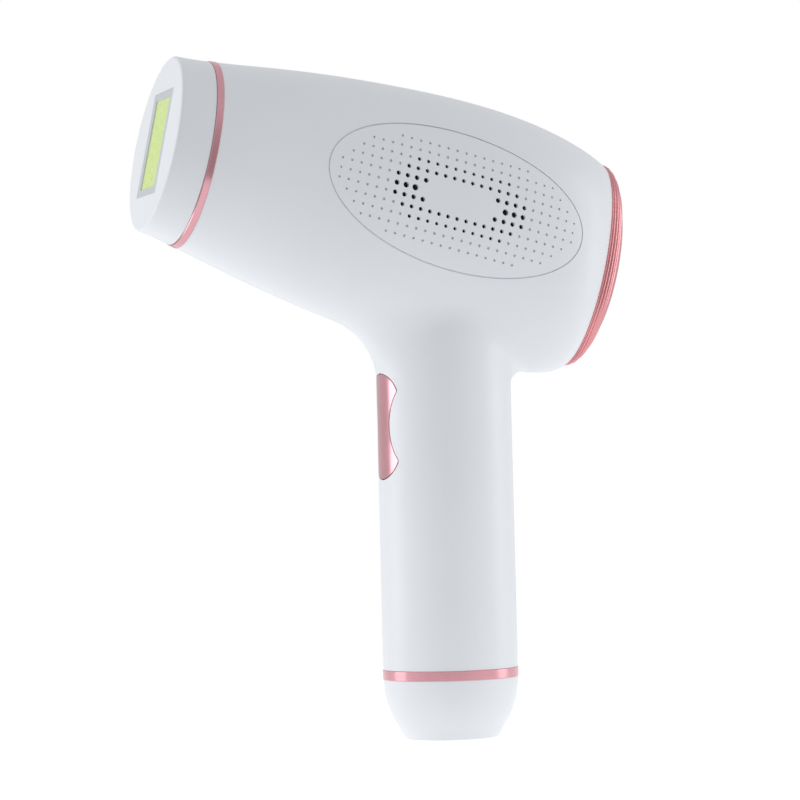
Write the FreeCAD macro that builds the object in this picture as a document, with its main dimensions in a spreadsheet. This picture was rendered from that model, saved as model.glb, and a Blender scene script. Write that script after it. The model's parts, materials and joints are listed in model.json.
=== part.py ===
import FreeCAD, Part
import Sketcher
import math
import os
import re

# Pulsed-light hair remover shaped like a small hair dryer, in millimetres.
# Origin at the centre of the flat base, +Z up the handle, the lamp faces -X, +Y is the right side.
# Barrel parts are placed in the barrel's own frame: x up across the barrel, y right, z forward
# along the barrel's axis, counted from where that axis crosses the handle's axis.

Vector = FreeCAD.Vector
Placement = FreeCAD.Placement
Rotation = FreeCAD.Rotation
X_AXIS = Vector(1, 0, 0)
Y_AXIS = Vector(0, 1, 0)
Z_AXIS = Vector(0, 0, 1)

# Cross-sections of the barrel, all ellipses: name, station, rise of its centre, half height, half width
BARREL_SECTIONS = (
    ("face", 92.6, 3.25, 26.0, 19.9),
    ("neckline", 81.0, 2.7, 27.6, 21.2),
    ("nose", 55.0, 1.7, 32.5, 23.1),
    ("fore", 25.0, 0.6, 36.6, 25.0),
    ("middle", -5.0, -0.2, 38.3, 26.3),
    ("aft", -25.0, -1.0, 37.4, 25.9),
    ("tail", -40.0, -2.0, 35.1, 22.7),
    ("rim", -48.3, -1.5, 31.3, 16.5),
)

# Cross-sections of the base cap, all ellipses: name, height, half length along X
CAP_SECTIONS = (
    ("sole", 0.0, 14.2),
    ("low", 4.0, 16.4),
    ("mid", 8.0, 18.5),
    ("high", 12.0, 19.8),
    ("brim", 17.8, 20.5),
)

SIZES = {
    # barrel and handle shells
    "barrel_tilt": 12.0,
    "axis_height": 153.7,
    "axis_back": 0.6,
    "rim_tilt": 1.0,
    "shell_wall": 2.2,
    "shell_front": 80.1,
    "handle_long": 20.5,
    "handle_wide": 18.5,
    "handle_start": 20.8,
    "handle_end": 150.0,
    "neck_round_front": 21.0,
    "neck_round_rear": 5.5,
    "sole_round": 0.8,
    # side grilles
    "grille_x": -4.4,
    "grille_z": 158.5,
    "grille_long": 41.5,
    "grille_high": 20.5,
    "grille_tilt": 16.0,
    "grille_gap": 0.2,
    "grille_thick": 1.0,
    "groove_deep": 0.35,
    "groove_play": 0.03,
    "vent_long": 23.0,
    "vent_high": 12.5,
    "screen_thick": 0.5,
    "dot_pitch": 2.9,
    "dot_tilt": 14.0,
    "dot_dent": 0.6,
    # trim rings
    "front_ring_long": 2.1,
    "front_ring_high": 21.6,
    "front_ring_wide": 15.6,
    "handle_ring_high": 3.0,
    "ring_wall": 2.4,
    "ring_bevel": 0.2,
    "ring_proud": 0.18,
    "dome_deep": 9.2,
    "dome_edge": 54.0,
    "ridge_swell": 0.22,
    "ridge_groove": 0.22,
    # trigger
    "trigger_height": 93.2,
    "trigger_half": 15.6,
    "lobe_height": 10.2,
    "lobe_wide": 7.6,
    "waist_wide": 4.2,
    "lobe_round": 1.0,
    "trigger_gap": 0.3,
    "trigger_lip": 1.2,
    "trigger_thick": 3.4,
    "spring_radius": 2.2,
    "spring_wire": 0.25,
    "spring_long": 4.9,
    "spring_offset": 9.5,
    # lamp cartridge
    "parting_gap": 0.15,
    "face_round": 1.0,
    "nozzle_wall": 2.0,
    "window_high": 31.1,
    "window_wide": 17.0,
    "glass_high": 27.6,
    "glass_wide": 13.5,
    "sight_high": 26.5,
    "sight_wide": 12.4,
    "glass_thick": 1.6,
    "skirt_high": 21.0,
    "skirt_wide": 15.0,
    "skirt_wall": 1.6,
    "skirt_rear": 62.0,
    "tube_radius": 2.5,
    "tube_station": 77.5,
    "pin_radius": 1.5,
    "pin_offset": 10.0,
    # socket, heat sink and fan
    "socket_gap": 0.4,
    "socket_wall": 1.6,
    "fan_side": 35.0,
    "fan_deep": 10.0,
    "fan_bore": 16.2,
    "rotor_radius": 15.7,
    "hub_radius": 7.5,
    "blade_thick": 1.0,
    "shaft_radius": 0.8,
    "shaft_clearance": 0.05,
    "fin_thick": 1.2,
    "fin_pitch": 3.7,
    "fin_high": 6.5,
    "sink_high": 40.0,
    "sink_wide": 28.0,
    "sink_plate": 2.5,
    # electronics
    "board_thick": 1.6,
    "board_wide": 24.0,
    "board_long": 88.0,
    "can_radius": 12.5,
    "can_long": 50.0,
    "jack_bore": 2.8,
    "jack_pin": 1.0,
    "jack_long": 13.0,
    "screw_shank": 1.2,
    "screw_head": 2.4,
    "lead_radius": 0.9,
    # control panel
    "button_radius": 4.5,
    "light_radius": 0.8,
    "light_pitch": 2.6,
}
LIGHT_COUNT = 5
BLADE_COUNT = 7
FIN_COUNT = 11
SPRING_TURNS = 4

doc = FreeCAD.newDocument("hair_remover")
sheet = doc.addObject("Spreadsheet::Sheet", "sizes")


def fill_sheet():
    """Write every driving size into the sheet, one row each, under its own alias."""
    cells = dict(SIZES)
    for name, station, rise, high, wide in BARREL_SECTIONS:
        cells.update({name + "_station": station, name + "_rise": rise})
        cells.update({name + "_tall": high, name + "_broad": wide})
    for name, height, half in CAP_SECTIONS:
        cells.update({name + "_level": height, name + "_half": half})
    for row, (alias, value) in enumerate(cells.items(), start=1):
        sheet.set("A%d" % row, alias)
        sheet.set("B%d" % row, str(value))
        sheet.setAlias("B%d" % row, alias)
    doc.recompute()


def size(alias):
    """A driving size, read back from the sheet."""
    return float(getattr(sheet, alias))


def bind(item, **formulas):
    """Bind an object's properties to formulas whose words are aliases in the sheet."""
    for prop, formula in formulas.items():
        item.setExpression(prop, re.sub(r"[a-z]\w*", lambda word: "sizes." + word.group(0), str(formula)))


fill_sheet()
WORLD = Placement()
BARREL = Placement(Vector(size("axis_back"), 0, size("axis_height")), Rotation(Y_AXIS, size("barrel_tilt") - 90))
RIM_SECTION = Placement(Vector(size("rim_rise"), 0, size("rim_station")), Rotation(Y_AXIS, size("rim_tilt")))
RIM = BARREL * RIM_SECTION * Placement(Vector(), Rotation(X_AXIS, 180))
ALONG = {
    "x": Rotation(Y_AXIS, 90),
    "y": Rotation(X_AXIS, -90),
    "z": Rotation(),
}
sub_parts = {}


# ---------------------------------------------------------------- general helpers

def add(kind, name, frame=WORLD, at=(0, 0, 0), turn=Rotation(), **formulas):
    """Add a document object, bind its sizes and place it in a frame."""
    item = doc.addObject(kind, name)
    bind(item, **formulas)
    item.Placement = frame * Placement(Vector(*at), turn)
    return item


def block(name, length, width, height, low, frame=WORLD, turn=Rotation()):
    """A box from its low corner."""
    return add("Part::Box", name, frame, low, turn, Length=length, Width=width, Height=height)


def rod(name, radius, height, at, frame=WORLD, along="z"):
    """A cylinder from the centre of its first end."""
    return add("Part::Cylinder", name, frame, at, ALONG[along], Radius=radius, Height=height)


def oval(name, major, minor, height, at, frame=WORLD, turn=Rotation()):
    """An elliptic cylinder from the centre of its first end."""
    ring = add("Part::Ellipse", name + "_ring", frame, at, turn, MajorRadius=major, MinorRadius=minor)
    solid = add("Part::Extrusion", name, LengthFwd=height)
    solid.Base = ring
    solid.DirMode = "Custom"
    solid.Dir = ring.Placement.Rotation.multVec(Z_AXIS)
    solid.Solid = True
    return solid


def loft(name, rings):
    """A smooth solid through a row of closed curves."""
    solid = doc.addObject("Part::Loft", name)
    solid.Sections = rings
    solid.Solid = True
    solid.Ruled = False
    return solid


def join(name, *items):
    """The union of several objects."""
    union = doc.addObject("Part::MultiFuse", name)
    union.Shapes = list(items)
    return union


def cut(name, base, *tools):
    """An object less one or more others."""
    result = doc.addObject("Part::Cut", name)
    result.Base = base
    result.Tool = tools[0] if len(tools) == 1 else join(name + "_tools", *tools)
    return result


def common(name, first, second):
    """What two objects share."""
    result = doc.addObject("Part::Common", name)
    result.Base = first
    result.Tool = second
    return result


def group(name, items):
    """Several identical solids kept as one sub-part."""
    result = doc.addObject("Part::Compound", name)
    result.Links = list(items)
    return result


def mirrored(name, source):
    """The mirror image of an object across the plane between left and right."""
    result = doc.addObject("Part::Mirroring", name)
    result.Source = source
    result.Normal = Y_AXIS
    return result


def feature(name, shape, frame=WORLD):
    """A shape made with Part's own functions."""
    result = doc.addObject("Part::Feature", name)
    result.Shape = shape
    result.Placement = frame
    return result


def edges_where(item, test):
    """Numbers of the edges of an object that pass a test."""
    doc.recompute()
    return [number for number, edge in enumerate(item.Shape.Edges, start=1) if test(edge)]


def rounded(name, item, radius, test, kind="Part::Fillet"):
    """An object with the edges that pass a test rounded or chamfered."""
    result = doc.addObject(kind, name)
    result.Base = item
    result.Edges = [(number, radius, radius) for number in edges_where(item, test)]
    return result


def keep(name, item):
    """Register an object as a sub-part under its own label."""
    item.Label = name
    sub_parts[name] = item
    return item


def local_box(edge, frame):
    """Bounding box of an edge in a frame."""
    moved = edge.copy()
    moved.Placement = frame.inverse() * moved.Placement
    return moved.BoundBox


def flat_at(frame, station, slack=0.05):
    """A test for edges that lie in the plane z = station of a frame."""
    def test(edge):
        box = local_box(edge, frame)
        return abs(box.ZMin - station) < slack and abs(box.ZMax - station) < slack
    return test


# ---------------------------------------------------------------- PartDesign helpers

def new_body(name, at, frame=WORLD, turn=Rotation()):
    """An empty body placed in a frame."""
    body = doc.addObject("PartDesign::Body", name)
    body.Placement = frame * Placement(Vector(*at), turn)
    return body


def new_sketch(body, name, level=0.0, plane="XY_Plane"):
    """A sketch on one of the body's own origin planes, raised by a level."""
    sketch = body.newObject("Sketcher::SketchObject", name)
    support = next(item for item in body.Origin.OriginFeatures if item.Role == plane)
    sketch.AttachmentSupport = (support, [""])
    sketch.MapMode = "FlatFace"
    sketch.AttachmentOffset = Placement(Vector(0, 0, level), Rotation())
    return sketch


def fix(sketch, alias, *constraint):
    """Add a named dimension to a sketch and bind it to a formula."""
    number = sketch.addConstraint(Sketcher.Constraint(*constraint))
    label = "d%d" % number
    sketch.renameConstraint(number, label)
    bind(sketch, **{"Constraints." + label: alias})


def rectangle(sketch, length, width, rough=(10, 5), centre=(0, 0)):
    """A rectangle about a centre: its sides are bound, its centre is fixed."""
    first = sketch.GeometryCount
    half_x = rough[0] / 2
    half_y = rough[1] / 2
    corners = [(-half_x, -half_y), (half_x, -half_y), (half_x, half_y), (-half_x, half_y)]
    points = [Vector(x + centre[0], y + centre[1], 0) for x, y in corners]
    for start, end in zip(points, points[1:] + points[:1]):
        sketch.addGeometry(Part.LineSegment(start, end), False)
    for side in range(4):
        sketch.addConstraint(Sketcher.Constraint("Coincident", first + side, 2, first + (side + 1) % 4, 1))
    for side, way in enumerate(("Horizontal", "Vertical", "Horizontal", "Vertical")):
        sketch.addConstraint(Sketcher.Constraint(way, first + side))
    fix(sketch, length, "DistanceX", first, 1, first, 2, rough[0])
    fix(sketch, width, "DistanceY", first + 1, 1, first + 1, 2, rough[1])
    fix(sketch, "%s - (%s) / 2" % (centre[0], length), "DistanceX", -1, 1, first, 1, centre[0] - half_x)
    fix(sketch, "%s - (%s) / 2" % (centre[1], width), "DistanceY", -1, 1, first, 1, centre[1] - half_y)


def circle(sketch, radius, rough, centre=(0, 0)):
    """A circle about a fixed centre with its radius bound."""
    first = sketch.GeometryCount
    sketch.addGeometry(Part.Circle(Vector(centre[0], centre[1], 0), Z_AXIS, rough), False)
    fix(sketch, radius, "Radius", first, rough)
    fix(sketch, centre[0], "DistanceX", -1, 1, first, 3, centre[0])
    fix(sketch, centre[1], "DistanceY", -1, 1, first, 3, centre[1])


def pad(body, sketch, length, name):
    """Extrude a sketch upwards."""
    result = body.newObject("PartDesign::Pad", name)
    result.Profile = sketch
    bind(result, Length=length)
    return result


def pocket(body, sketch, length, name):
    """Cut a sketch downwards, and check that it removes material."""
    doc.recompute()
    before = body.Shape.Volume
    result = body.newObject("PartDesign::Pocket", name)
    result.Profile = sketch
    bind(result, Length=length)
    doc.recompute()
    if body.Shape.Volume >= before:
        raise RuntimeError(name + " cuts nothing")
    return result


# ---------------------------------------------------------------- forms shared by several sub-parts

def barrel_form(name, inset):
    """The barrel's outer form, drawn in by an inset all round."""
    rings = []
    for key, station, rise, high, wide in BARREL_SECTIONS:
        tilt = Rotation(Y_AXIS, size("rim_tilt")) if key == "rim" else Rotation()
        at = (size(key + "_rise"), 0, size(key + "_station"))
        tall = "%s_tall - (%s)" % (key, inset)
        broad = "%s_broad - (%s)" % (key, inset)
        ring = add("Part::Ellipse", name + "_" + key, BARREL, at, tilt, MajorRadius=tall, MinorRadius=broad)
        rings.append(ring)
    return loft(name, rings)


def handle_form(name, inset):
    """The handle's form, drawn in by an inset all round."""
    tall = "handle_end - handle_start"
    at = (0, 0, size("handle_start"))
    return oval(name, "handle_long - (%s)" % inset, "handle_wide - (%s)" % inset, tall, at)


def slab(name, rear, front, frame=BARREL):
    """A wide slab across the barrel between two stations."""
    return block(name, 120, 120, front - rear, (-60, -60, rear), frame)


def left_space(name):
    """Everything left of the plane between the two shells."""
    return block(name, 400, 100, 400, (-200, -100, -50))


def grille_prism(name, major, minor):
    """An elliptic prism through the left side of the barrel, at the grille's place."""
    at = (size("grille_x"), -3, size("grille_z"))
    lean = Rotation(Y_AXIS, size("grille_tilt"))
    outward = Rotation(X_AXIS, 90)
    return oval(name, major, minor, 40, at, WORLD, lean * outward)


def trigger_outline(grow):
    """Dog-bone prism of the trigger along X, grown by a margin all round."""
    middle = size("trigger_height")
    half = size("trigger_half") + grow
    lobe = size("lobe_height") + 0.3 * grow
    wide = size("lobe_wide") + 1.15 * grow
    top = Vector(0, 0, middle + half)
    bottom = Vector(0, 0, middle - half)
    upper = [Vector(0, side * wide, middle + lobe) for side in (-1, 1)]
    lower = [Vector(0, side * wide, middle - lobe) for side in (-1, 1)]
    waist = [Vector(0, side * (size("waist_wide") + grow), middle) for side in (-1, 1)]
    arcs = [
        Part.Arc(upper[0], top, upper[1]),
        Part.Arc(upper[1], waist[1], lower[1]),
        Part.Arc(lower[1], bottom, lower[0]),
        Part.Arc(lower[0], waist[0], upper[0]),
    ]
    wire = Part.Wire([arc.toShape() for arc in arcs])
    prism = Part.Face(wire).extrude(Vector(20, 0, 0))
    prism.translate(Vector(-30, 0, 0))
    corners = [edge for edge in prism.Edges if edge.BoundBox.XLength > 19]
    return prism.makeFillet(size("lobe_round") + grow, corners)


def rounded_path(points, bend):
    """A wire of straight runs joined by tangent arcs."""
    points = [Vector(*point) for point in points]
    edges = []
    start = points[0]
    for before, corner, after in zip(points, points[1:], points[2:]):
        back = (before - corner).normalize()
        onward = (after - corner).normalize()
        half_turn = (math.pi - back.getAngle(onward)) / 2
        reach = bend * math.tan(half_turn)
        middle = (back + onward).normalize()
        centre = corner + middle * (bend / math.cos(half_turn))
        entry = corner + back * reach
        leave = corner + onward * reach
        edges.append(Part.LineSegment(start, entry).toShape())
        edges.append(Part.Arc(entry, centre - middle * bend, leave).toShape())
        start = leave
    edges.append(Part.LineSegment(start, points[-1]).toShape())
    return Part.Wire(edges)


def lead(name, points, radius, bend=2.0):
    """A round insulated lead along a path given in world coordinates."""
    path = rounded_path(points, bend)
    start = path.Edges[0]
    section = Part.Wire(Part.Circle(start.valueAt(0), start.tangentAt(0), radius).toShape())
    return feature(name, path.makePipeShell([section], True, False))


def barrel_point(rise, side, station):
    """A point of the barrel's frame in world coordinates."""
    return BARREL.multVec(Vector(rise, side, station))


outer = barrel_form("barrel_outer", 0)
inner = barrel_form("barrel_inner", "shell_wall")
grille_back = barrel_form("grille_back", "grille_thick")
pocket_floor = barrel_form("pocket_floor", "grille_thick + 0.1")
handle_outer = handle_form("handle_outer", 0)
handle_inner = handle_form("handle_inner", "shell_wall")
handle_core = handle_form("handle_core", "trigger_thick")
handle_seat = handle_form("handle_seat", "shell_wall + 0.3")
hollow = join("shell_hollow", inner, handle_inner)


# ---------------------------------------------------------------- shells

def shell_form():
    """Left half of the barrel and handle as one solid with the neck blended."""
    zone = block("shell_zone", 140, 140, "shell_front + 90", (-70, -70, -90), BARREL)
    both = join("shell_both", common("shell_barrel", outer, zone), handle_outer)
    half = common("shell_half", both, left_space("left_space"))

    def seam(edge):
        ends = [vertex.Point for vertex in edge.Vertexes]
        middle = edge.valueAt((edge.FirstParameter + edge.LastParameter) / 2)
        return all(abs(end.y) < 0.01 and 100 < end.z < 130 for end in ends) and middle.y < -5

    blend = doc.addObject("Part::Fillet", "left_form")
    blend.Base = half
    number = edges_where(half, seam)[0]
    edge = half.Shape.Edges[number - 1]
    radii = (size("neck_round_front"), size("neck_round_rear"))
    if edge.valueAt(edge.FirstParameter).x > edge.valueAt(edge.LastParameter).x:
        radii = radii[::-1]
    blend.Edges = [(number, radii[0], radii[1])]
    return blend


left_form = shell_form()
BOSS_REACH = 27.0
BOSS_HEAD = 9.0
BASE_POST = (-7.5, 6.5)
PLATE_STATION = 43.5
SINK_RISE = 1.6
LAMP_RISE = 2.7
SOCKET_FRONT = 79.9


def boss_places():
    """Barrel-frame (rise, station) of the two screw bosses behind each grille."""
    centre = BARREL.inverse().multVec(Vector(size("grille_x"), 0, size("grille_z")))
    lean = math.radians(size("grille_tilt") - size("barrel_tilt"))
    rise = BOSS_REACH * math.sin(lean)
    run = BOSS_REACH * math.cos(lean)
    return [(centre.x + way * rise, centre.z + way * run) for way in (1, -1)]


def saddle(name, low, form):
    """A rib in the handle that cradles the capacitor."""
    plate = block(name + "_plate", 28.2, 60, 2, (-8.2, -30, low))
    round_gap = rod(name + "_gap", "can_radius + 0.15", 10, (4, 0, low - 4))
    return common(name, cut(name + "_cradle", plate, round_gap), form)


def ring_rib(name, rear, front, opening):
    """A rib round the inside of the barrel with an opening and a notch for the leads."""
    notch = block(name + "_notch", 9, 14, front - rear + 2, (-30, -7, rear - 1), BARREL)
    return common(name, cut(name + "_plate", slab(name + "_slab", rear, front), opening, notch), left_form)


def barrel_ribs(side):
    """The ribs that hold the heat sink's plate from both sides, and the one that centres the socket."""
    rear = PLATE_STATION - 1.8
    front = PLATE_STATION + size("sink_plate")
    fins = block(side + "_fin_opening", 39.2, 28.6, 4, (SINK_RISE - 19.6, -14.3, rear - 1), BARREL)
    air = oval(side + "_air_opening", 21.5, 15.0, 4, (SINK_RISE, 0, front - 1), BARREL)
    sleeve = oval(side + "_sleeve_opening", 23.1, 17.1, 4, (LAMP_RISE, 0, 73), BARREL)
    return [
        ring_rib(side + "_rib_rear", rear, PLATE_STATION - 0.1, fins),
        ring_rib(side + "_rib_front", front + 0.1, front + 1.6, air),
        ring_rib(side + "_rib_socket", 74.0, 75.9, sleeve),
    ]


def housing(side):
    """One half shell with its ribs, bosses and openings, drawn on the left side."""
    additions = [cut(side + "_shell", left_form, hollow)]
    removals = []
    for number, (rise, station) in enumerate(boss_places()):
        name = "%s_boss_%d" % (side, number)
        stub = rod(name + "_rod", 4, 40, (rise, -40, station), BARREL, "y")
        additions.append(common(name, stub, left_form))
        if side == "right":
            removals.append(rod(name + "_bore", 2.8, 40, (rise, -40 - BOSS_HEAD, station), BARREL, "y"))
            removals.append(rod(name + "_way", "screw_shank + 0.2", 20, (rise, -19, station), BARREL, "y"))
        else:
            removals.append(rod(name + "_pilot", "screw_shank", 9, (rise, -8, station), BARREL, "y"))
    for number, low in enumerate((46, 76)):
        additions.append(saddle("%s_saddle_%d" % (side, number), low, left_form))
    additions.extend(barrel_ribs(side))
    post_x, post_y = BASE_POST
    additions.append(rod(side + "_post", 3, 22, (post_x, -post_y, 8)))
    additions.append(block(side + "_web", 2, 15.6 - post_y, 8, (post_x - 1, -15.6, size("handle_start"))))
    removals.append(rod(side + "_post_pilot", "screw_shank", 14, (post_x, -post_y, 7.5)))
    margin = "grille_%s + grille_gap"
    prism = grille_prism(side + "_pocket_prism", margin % "long", margin % "high")
    removals.append(cut(side + "_pocket", prism, pocket_floor))
    removals.append(grille_prism(side + "_vent", "vent_long", "vent_high"))
    removals.append(feature(side + "_trigger_slot", trigger_outline(size("trigger_gap"))))
    return cut(side + "_half", join(side + "_solid", *additions), *removals)


keep("left_housing", housing("left"))
keep("right_housing", mirrored("right_housing", housing("right")))


# ---------------------------------------------------------------- grilles

DOT_ROWS = (
    # row, first and last column of the open holes, radius at the first and at the last
    (0, 5, 7, 0.95, 0.78),
    (1, 4, 7, 0.75, 0.68),
    (2, 0, 6, 0.60, 0.62),
    (3, 0, 5, 0.52, 0.55),
)
DENT_ROWS = (
    # row, first and last column of the shallow dents
    (0, 8, 13),
    (1, 8, 13),
    (2, 7, 12),
    (3, 6, 11),
    (4, 0, 10),
    (5, 0, 7),
)


def dot_spots(rows):
    """Row, column and world (x, z) of every dot of the left grille: a square grid in four quadrants."""
    pitch = size("dot_pitch")
    place = Placement(Vector(size("grille_x"), 0, size("grille_z")), Rotation(Y_AXIS, size("dot_tilt")))
    for row in rows:
        for column in range(row[1], row[2] + 1):
            for along, across in sorted({(a * column, b * row[0]) for a in (1, -1) for b in (1, -1)}):
                spot = place.multVec(Vector(along * pitch, 0, across * pitch))
                yield row, column, spot.x, spot.z


def surface_side(shape, x, z):
    """Y of a solid's left surface on the line through (x, z)."""
    return shape.common(Part.makeLine(Vector(x, -40, z), Vector(x, -5, z))).BoundBox.YMin


def hole_radius(row, column):
    """Open holes change evenly in size along a row."""
    share = (column - row[1]) / (row[2] - row[1])
    return row[3] + share * (row[4] - row[3])


def dent_radius(row, column):
    """Dents shrink towards the grille's edge."""
    share = math.hypot(column / 14.3, row[0] / 7.0)
    return 0.60 - 0.28 * share


def grilles():
    """Perforated oval plates that sit flush in the shells."""
    margin = "grille_%s - grille_gap"
    prism = grille_prism("left_grille_prism", margin % "long", margin % "high")
    reach = "grille_%s + grille_gap - groove_play"
    foot = grille_prism("left_grille_foot_prism", reach % "long", reach % "high")
    flange = common("left_grille_flange", foot, barrel_form("groove_floor", "groove_deep"))
    solid = join("left_grille_solid", common("left_grille_form", prism, outer), flange)
    plate = cut("left_grille_plate", solid, grille_back)
    doc.recompute()
    rods = []
    for row, column, x, z in dot_spots(DOT_ROWS):
        rods.append(Part.makeCylinder(hole_radius(row, column), 30, Vector(x, -8, z), Vector(0, -1, 0)))
    for row, column, x, z in dot_spots(DENT_ROWS):
        floor = surface_side(outer.Shape, x, z) + size("dot_dent")
        rods.append(Part.makeCylinder(dent_radius(row, column), 5, Vector(x, floor, z), Vector(0, -1, 0)))
    dots = feature("grille_dots", Part.makeCompound(rods))
    left = keep("left_grille", cut("left_grille", plate, dots))
    keep("right_grille", mirrored("right_grille", left))
    screen_front = barrel_form("screen_front", "grille_thick + 0.2")
    screen_back = barrel_form("screen_back", "grille_thick + 0.2 + screen_thick")
    opening = grille_prism("screen_prism", "vent_long - 0.1", "vent_high - 0.1")
    screen = cut("left_dust_screen", common("screen_form", opening, screen_front), screen_back)
    keep("left_dust_screen", screen)
    keep("right_dust_screen", mirrored("right_dust_screen", screen))


grilles()


# ---------------------------------------------------------------- trim rings and rear panel

def front_ring():
    """Thin metal band between the shells and the lamp cartridge."""
    rear = size("shell_front")
    form = barrel_form("front_band_form", "-ring_proud")
    band = common("front_band", form, block("front_band_slab", 120, 120, "front_ring_long", (-60, -60, rear), BARREL))
    front = rear + size("front_ring_long")

    def rim(edge):
        return flat_at(BARREL, rear)(edge) or flat_at(BARREL, front)(edge)

    bevelled = rounded("front_band_bevel", band, size("ring_bevel"), rim, "Part::Chamfer")
    opening = oval("front_opening", "front_ring_high", "front_ring_wide", 10, (LAMP_RISE, 0, rear - 4), BARREL)
    keep("front_trim_ring", cut("front_trim_ring", bevelled, opening))


def handle_ring():
    """Metal band between the handle and the base cap."""
    low = size("handle_start") - size("handle_ring_high")
    band = oval("handle_band", "handle_long + ring_proud", "handle_wide + ring_proud", "handle_ring_high", (0, 0, low))

    def rim(edge):
        return flat_at(WORLD, low)(edge) or flat_at(WORLD, size("handle_start"))(edge)

    bevelled = rounded("handle_band_bevel", band, size("ring_bevel"), rim, "Part::Chamfer")
    core = "%s - ring_wall"
    opening = oval("handle_opening", core % "handle_long", core % "handle_wide", 10, (0, 0, low - 3))
    keep("handle_ring", cut("handle_ring", bevelled, opening))


def stretched(face):
    """Turn a half profile about Z and stretch it from the rim's half width to its half height."""
    turned = face.revolve(Vector(), Z_AXIS, 360)
    matrix = FreeCAD.Matrix()
    matrix.scale(size("rim_tall") / size("rim_broad"), 1, 1)
    return turned.transformGeometry(matrix)


def dome_point(degrees, swell=0.0):
    """A point of the rear dome's profile, pushed out by a swell."""
    angle = math.radians(degrees)
    return Vector((size("rim_broad") + swell) * math.cos(angle), 0, (size("dome_deep") + swell) * math.sin(angle))


def profile_face(points, arcs):
    """A closed profile of straight sides after a chain of three-point arcs."""
    edges = [Part.Arc(*arc).toShape() for arc in arcs]
    for start, end in zip(points, points[1:]):
        edges.append(Part.LineSegment(start, end).toShape())
    return Part.Face(Part.Wire(edges))


LEDGE = 5.3
LEDGE_INSIDE = 8.6
PANEL_GAP = 0.03


def rear_ring():
    """Ridged metal ring that closes the rear of the barrel round the panel."""
    edges = (0.0, 3.4, 10.5, 18.0, 26.5, 37.0, size("dome_edge"))
    groove = -size("ridge_groove")
    swells = [0.0] + [groove] * (len(edges) - 2) + [0.0]
    valleys = [dome_point(angle, swell) for angle, swell in zip(edges, swells)]
    crests = [dome_point((a + b) / 2, size("ridge_swell")) for a, b in zip(edges, edges[1:])]
    arcs = list(zip(valleys, crests, valleys[1:]))
    last = dome_point(edges[-1])
    inside = [
        last,
        Vector(last.x, 0, LEDGE),
        Vector(LEDGE_INSIDE, 0, LEDGE),
        Vector(LEDGE_INSIDE, 0, 2.7),
        Vector(11.6, 0, 2.7),
        Vector(11.6, 0, -3.0),
        Vector(13.6, 0, -3.0),
        Vector(13.6, 0, 0),
        dome_point(0),
    ]
    keep("rear_trim_ring", feature("rear_trim_ring", stretched(profile_face(inside, arcs)), RIM))


BUTTON_SPOT = -6.0
LIGHTS_FROM = 3.0


def light_spots():
    """Places of the level lights up the panel."""
    return [LIGHTS_FROM + number * size("light_pitch") for number in range(LIGHT_COUNT)]


def panel_top(name, gap):
    """The solid under the dome's surface, cut off at the panel's edge."""
    edge = dome_point(size("dome_edge"))
    reach = edge.x - gap
    arc = (Vector(0, 0, size("dome_deep")), dome_point((90 + size("dome_edge")) / 2), Vector(reach, 0, edge.z))
    sides = [Vector(reach, 0, edge.z), Vector(reach, 0, 0.5), Vector(0, 0, 0.5), Vector(0, 0, size("dome_deep"))]
    return feature(name, stretched(profile_face(sides, [arc])), RIM)


def control_panel():
    """Glossy rear panel with its button, level lights and small circuit board."""
    top = panel_top("panel_form", PANEL_GAP)
    profile = [
        Vector(0, 0, 7.0),
        Vector(LEDGE_INSIDE - 0.1, 0, 5.8),
        Vector(LEDGE_INSIDE - 0.1, 0, LEDGE + 0.02),
        Vector(11, 0, LEDGE + 0.02),
        Vector(11, 0, 0),
        Vector(0, 0, 0),
        Vector(0, 0, 7.0),
    ]
    under = feature("panel_under", stretched(profile_face(profile, [])), RIM)
    holes = [rod("panel_button_hole", "button_radius + 0.2", 10, (BUTTON_SPOT, 0, 1), RIM)]
    pipes = []
    for number, spot in enumerate(light_spots()):
        holes.append(rod("panel_light_hole_%d" % number, "light_radius + 0.02", 10, (spot, 0, 1), RIM))
        pipe = rod("light_pipe_%d" % number, "light_radius", 6.5, (spot, 0, 2.9), RIM)
        pipes.append(common("level_light_%d" % number, pipe, panel_top("light_top_%d" % number, 0)))
    keep("control_panel", cut("control_panel", top, under, *holes))
    keep("level_lights", group("level_lights", pipes))
    board = oval("control_board", 20.0, 10.4, 1.2, (0, 0, 1.4), RIM)
    keep("control_board", board)
    keep("panel_switch", block("panel_switch", 6, 6, 0.9, (BUTTON_SPOT - 3, -3, 2.6), RIM))


def level_button():
    """Round push button in the rear panel, with a lip that holds it in and a stem to its switch."""
    cap = rod("level_cap", "button_radius", 4.1, (BUTTON_SPOT, 0, 5.5), RIM)
    soft = rounded("level_cap_round", cap, 0.5, flat_at(RIM, 9.6))
    lip = rod("level_lip", "button_radius + 0.7", 0.5, (BUTTON_SPOT, 0, 5.5), RIM)
    stem = rod("level_stem", 1.4, 1.5, (BUTTON_SPOT, 0, 4.25), RIM)
    keep("level_button", join("level_button", soft, lip, stem))


front_ring()
handle_ring()
rear_ring()
control_panel()
level_button()


# ---------------------------------------------------------------- base cap, inlet and screws

JACK_X = 6.0


def cap_form(name, inset):
    """The tapered base cap's form, drawn in by an inset."""
    flat = size("handle_wide") / size("handle_long")
    rings = []
    for key, level, half in CAP_SECTIONS:
        long_side = "%s_half - (%s)" % (key, inset)
        short_side = "%s_half * %s - (%s)" % (key, flat, inset)
        at = (0, 0, size(key + "_level"))
        rings.append(add("Part::Ellipse", name + "_" + key, at=at, MajorRadius=long_side, MinorRadius=short_side))
    return loft(name, rings)


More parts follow.
